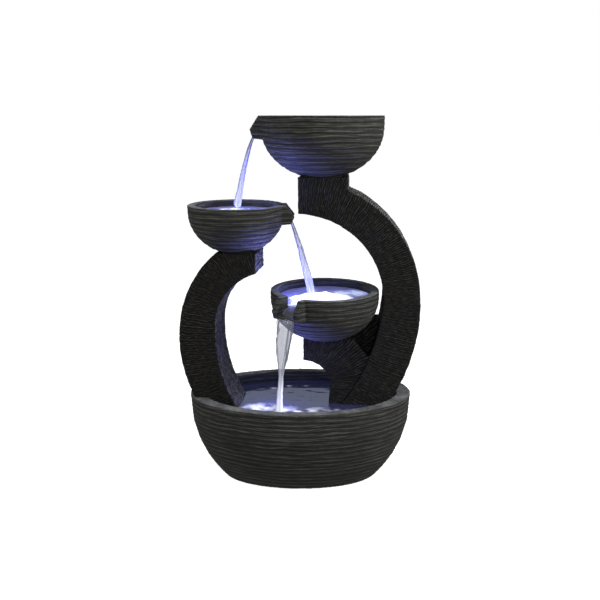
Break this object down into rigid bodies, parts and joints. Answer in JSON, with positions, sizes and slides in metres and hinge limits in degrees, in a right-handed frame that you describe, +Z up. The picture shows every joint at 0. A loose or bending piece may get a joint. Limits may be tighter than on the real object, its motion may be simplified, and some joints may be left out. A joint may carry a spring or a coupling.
{
  "type": "tiered water fountain",
  "caption": "Tiered garden fountain: an oval basin with curved columns holding round bowls that pour from spout to bowl, with a hidden pump and sealed lamps.",
  "frame": {"origin": "on the ground under the middle of the oval basin", "axes": "+Z up, +X along the basin's length to the right seen from the front, -Y towards the front"},
  "size_m": [0.5287, 0.3, 0.8],
  "materials": {
    "bowl_resin": "matte",
    "column_resin": "matte",
    "black_plastic": "satin",
    "black_rubber": "matte",
    "clear_plastic": "gloss",
    "hose_plastic": "satin",
    "steel": "satin",
    "magnet": "satin"
  },
  "bodies": {
    "fountain": {"basin": "bowl_resin", "top_bowl": "bowl_resin", "left_bowl": "bowl_resin", "middle_bowl": "bowl_resin", "right_column": "column_resin", "left_column": "column_resin", "middle_bracket": "column_resin", "bracket_bolt_1": "steel", "bracket_bolt_2": "steel", "lower_hose_clamp": "steel", "upper_hose_clamp": "steel", "pump_housing": "black_plastic", "lead_splitter": "black_plastic", "top_bowl_inlet": "black_plastic", "inlet_nut": "black_plastic", "left_lamp_nut": "black_plastic", "middle_lamp_nut": "black_plastic", "left_lamp_body": "black_plastic", "middle_lamp_body": "black_plastic", "basin_lamp_body": "black_plastic", "left_lamp_lens": "clear_plastic", "middle_lamp_lens": "clear_plastic", "basin_lamp_lens": "clear_plastic", "supply_hose": "hose_plastic", "suction_cup_1": "black_rubber", "suction_cup_2": "black_rubber", "suction_cup_3": "black_rubber", "suction_cup_4": "black_rubber", "top_bowl_gasket": "black_rubber", "left_bowl_gasket": "black_rubber", "middle_bowl_gasket": "black_rubber", "inlet_seal": "black_rubber", "cable_grommet": "black_rubber", "left_lamp_lead": "black_rubber", "middle_lamp_lead": "black_rubber", "basin_lamp_lead": "black_rubber", "pump_lead": "black_rubber", "trunk_lead": "black_rubber"},
    "rotor": {"pump_rotor": "magnet"},
    "intake_cover": {"pump_intake_cover": "black_plastic"},
    "regulator": {"flow_regulator": "black_plastic"},
    "access_door": {"pump_access_door": "column_resin", "door_screw_lower": "steel", "door_screw_upper": "steel"}
  },
  "joints": [
    {"name": "pump_rotor_spin", "type": "hinge", "parent": "fountain", "child": "rotor", "pos_m": [0.07178, 0.01622, 0.042], "axis": [0.0785, 0.9969, 0], "continuous": true},
    {"name": "flow_regulator_turn", "type": "hinge", "parent": "fountain", "child": "regulator", "pos_m": [0.04659, -0.00688, 0.05], "axis": [-0.9969, 0.0785, 0], "range_deg": [0, 90]},
    {"name": "intake_cover_slide", "type": "slide", "parent": "fountain", "child": "intake_cover", "axis": [0.0785, 0.9969, 0], "range_m": [0, 0.012]},
    {"name": "access_door_slide", "type": "slide", "parent": "fountain", "child": "access_door", "axis": [0.0785, 0.9969, 0], "range_m": [0, 0.06]}
  ]
}
